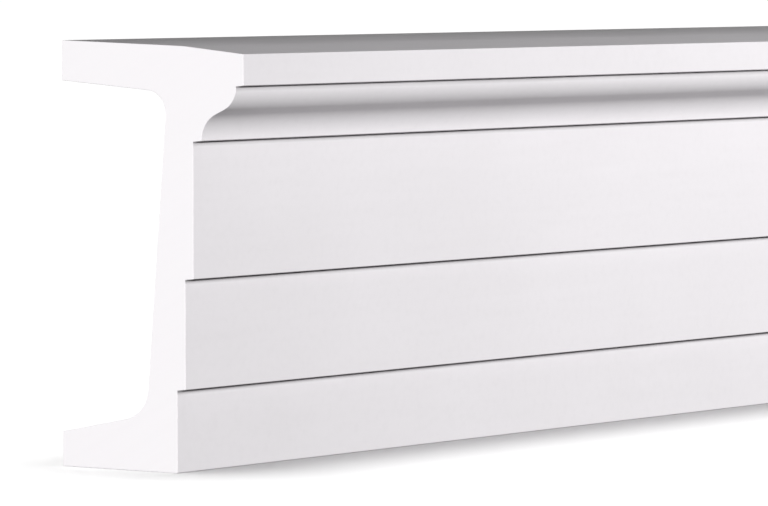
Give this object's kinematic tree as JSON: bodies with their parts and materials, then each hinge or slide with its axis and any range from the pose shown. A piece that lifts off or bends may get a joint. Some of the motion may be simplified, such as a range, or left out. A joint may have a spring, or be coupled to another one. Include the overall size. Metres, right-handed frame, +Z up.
{
  "type": "architrave moulding",
  "caption": "Straight length of facade architrave moulding in rigid foam: stepped fasciae under an ogee and a plain band, weathered top, hollow back and square-cut ends.",
  "frame": {"origin": "on the underside, at the middle of the length and of the overall depth", "axes": "+X along the length, +Y from the moulded front to the wall behind it, +Z up"},
  "size_m": [2, 0.1598, 0.3],
  "materials": {
    "primed_foam": "matt white primer over hard moulded polyurethane foam"
  },
  "bodies": {
    "root": {"architrave_moulding": "primed_foam"}
  },
  "joints": []
}
